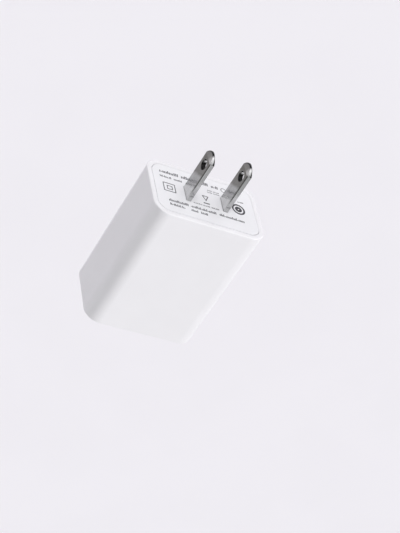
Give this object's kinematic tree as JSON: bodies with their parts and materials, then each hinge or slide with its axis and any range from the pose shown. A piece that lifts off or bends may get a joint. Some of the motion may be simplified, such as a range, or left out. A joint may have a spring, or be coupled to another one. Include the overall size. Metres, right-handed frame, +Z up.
{
  "type": "usb wall charger",
  "caption": "Compact wall charger: rounded white sleeve with a flush plug face carrying two flat blades and a dished face with one USB-A socket.",
  "frame": {"origin": "centre of the plug face that meets the wall outlet, midway between the two blades", "axes": "+Y along the blades into the outlet, +Z up with the charger lying on one wide face, +X across the two blades; the USB socket faces -Y"},
  "size_m": [0.0376, 0.0645, 0.0244],
  "materials": {
    "white_plastic": "satin",
    "plug_panel": "satin",
    "usb_panel": "satin",
    "nickel_plate": "polished",
    "tin_plate": "satin",
    "dark_steel": "satin",
    "gold_plate": "polished",
    "spring_bronze": "satin",
    "board": "satin",
    "black_plastic": "matte",
    "tongue_plastic": "matte",
    "resistor_body": "matte",
    "ferrite": "matte",
    "copper_wire": "enamelled",
    "yellow_tape": "satin",
    "can_dark": "sleeved",
    "can_blue": "sleeved",
    "disc_blue": "satin",
    "chip_ceramic": "matte"
  },
  "bodies": {
    "charger": {"casing": "white_plastic", "plug_cover": "plug_panel", "usb_cover": "usb_panel", "blade_left": "nickel_plate", "blade_right": "nickel_plate", "blade_spring_left": "spring_bronze", "blade_spring_right": "spring_bronze", "main_board": "board", "fusible_resistor": "resistor_body", "choke_core": "ferrite", "choke_winding": "copper_wire", "bridge_rectifier": "black_plastic", "input_capacitor_a": "can_dark", "input_capacitor_b": "can_dark", "controller_chip": "black_plastic", "snubber_diode": "black_plastic", "transformer_bobbin": "black_plastic", "transformer_winding": "yellow_tape", "transformer_core_plug_side": "ferrite", "transformer_core_usb_side": "ferrite", "transformer_tape": "yellow_tape", "transformer_pins": "tin_plate", "y_capacitor": "disc_blue", "output_rectifier": "black_plastic", "output_capacitor_a": "can_blue", "output_capacitor_b": "can_blue", "chip_resistors": "black_plastic", "chip_capacitors": "chip_ceramic", "usb_shell": "dark_steel", "usb_tongue": "tongue_plastic", "usb_contact_tails": "gold_plate"},
    "usb_contact_1": {"usb_contact_1": "gold_plate"},
    "usb_contact_2": {"usb_contact_2": "gold_plate"},
    "usb_contact_3": {"usb_contact_3": "gold_plate"},
    "usb_contact_4": {"usb_contact_4": "gold_plate"},
    "shell_spring_top_left": {"shell_spring_top_left": "dark_steel"},
    "shell_spring_bottom_left": {"shell_spring_bottom_left": "dark_steel"},
    "shell_spring_top_right": {"shell_spring_top_right": "dark_steel"},
    "shell_spring_bottom_right": {"shell_spring_bottom_right": "dark_steel"}
  },
  "joints": [
    {"name": "usb_contact_1_flex", "type": "hinge", "parent": "charger", "child": "usb_contact_1", "pos_m": [-0.0035, -0.03605, 0.0005], "axis": [-1, 0, 0], "range_deg": [0, 3.6], "stiffness_Nm_per_rad": 0.1},
    {"name": "usb_contact_2_flex", "type": "hinge", "parent": "charger", "child": "usb_contact_2", "pos_m": [-0.001, -0.03605, 0.0005], "axis": [-1, 0, 0], "range_deg": [0, 3.6], "stiffness_Nm_per_rad": 0.1},
    {"name": "usb_contact_3_flex", "type": "hinge", "parent": "charger", "child": "usb_contact_3", "pos_m": [0.001, -0.03605, 0.0005], "axis": [-1, 0, 0], "range_deg": [0, 3.6], "stiffness_Nm_per_rad": 0.1},
    {"name": "usb_contact_4_flex", "type": "hinge", "parent": "charger", "child": "usb_contact_4", "pos_m": [0.0035, -0.03605, 0.0005], "axis": [-1, 0, 0], "range_deg": [0, 3.6], "stiffness_Nm_per_rad": 0.1},
    {"name": "shell_spring_top_left_flex", "type": "hinge", "parent": "charger", "child": "shell_spring_top_left", "pos_m": [-0.0031, -0.03625, 0.00271], "axis": [-1, 0, 0], "range_deg": [0, 3], "stiffness_Nm_per_rad": 0.1},
    {"name": "shell_spring_bottom_left_flex", "type": "hinge", "parent": "charger", "child": "shell_spring_bottom_left", "pos_m": [-0.0031, -0.03625, -0.00271], "axis": [1, 0, 0], "range_deg": [0, 3], "stiffness_Nm_per_rad": 0.1},
    {"name": "shell_spring_top_right_flex", "type": "hinge", "parent": "charger", "child": "shell_spring_top_right", "pos_m": [0.0031, -0.03625, 0.00271], "axis": [-1, 0, 0], "range_deg": [0, 3], "stiffness_Nm_per_rad": 0.1},
    {"name": "shell_spring_bottom_right_flex", "type": "hinge", "parent": "charger", "child": "shell_spring_bottom_right", "pos_m": [0.0031, -0.03625, -0.00271], "axis": [1, 0, 0], "range_deg": [0, 3], "stiffness_Nm_per_rad": 0.1}
  ]
}
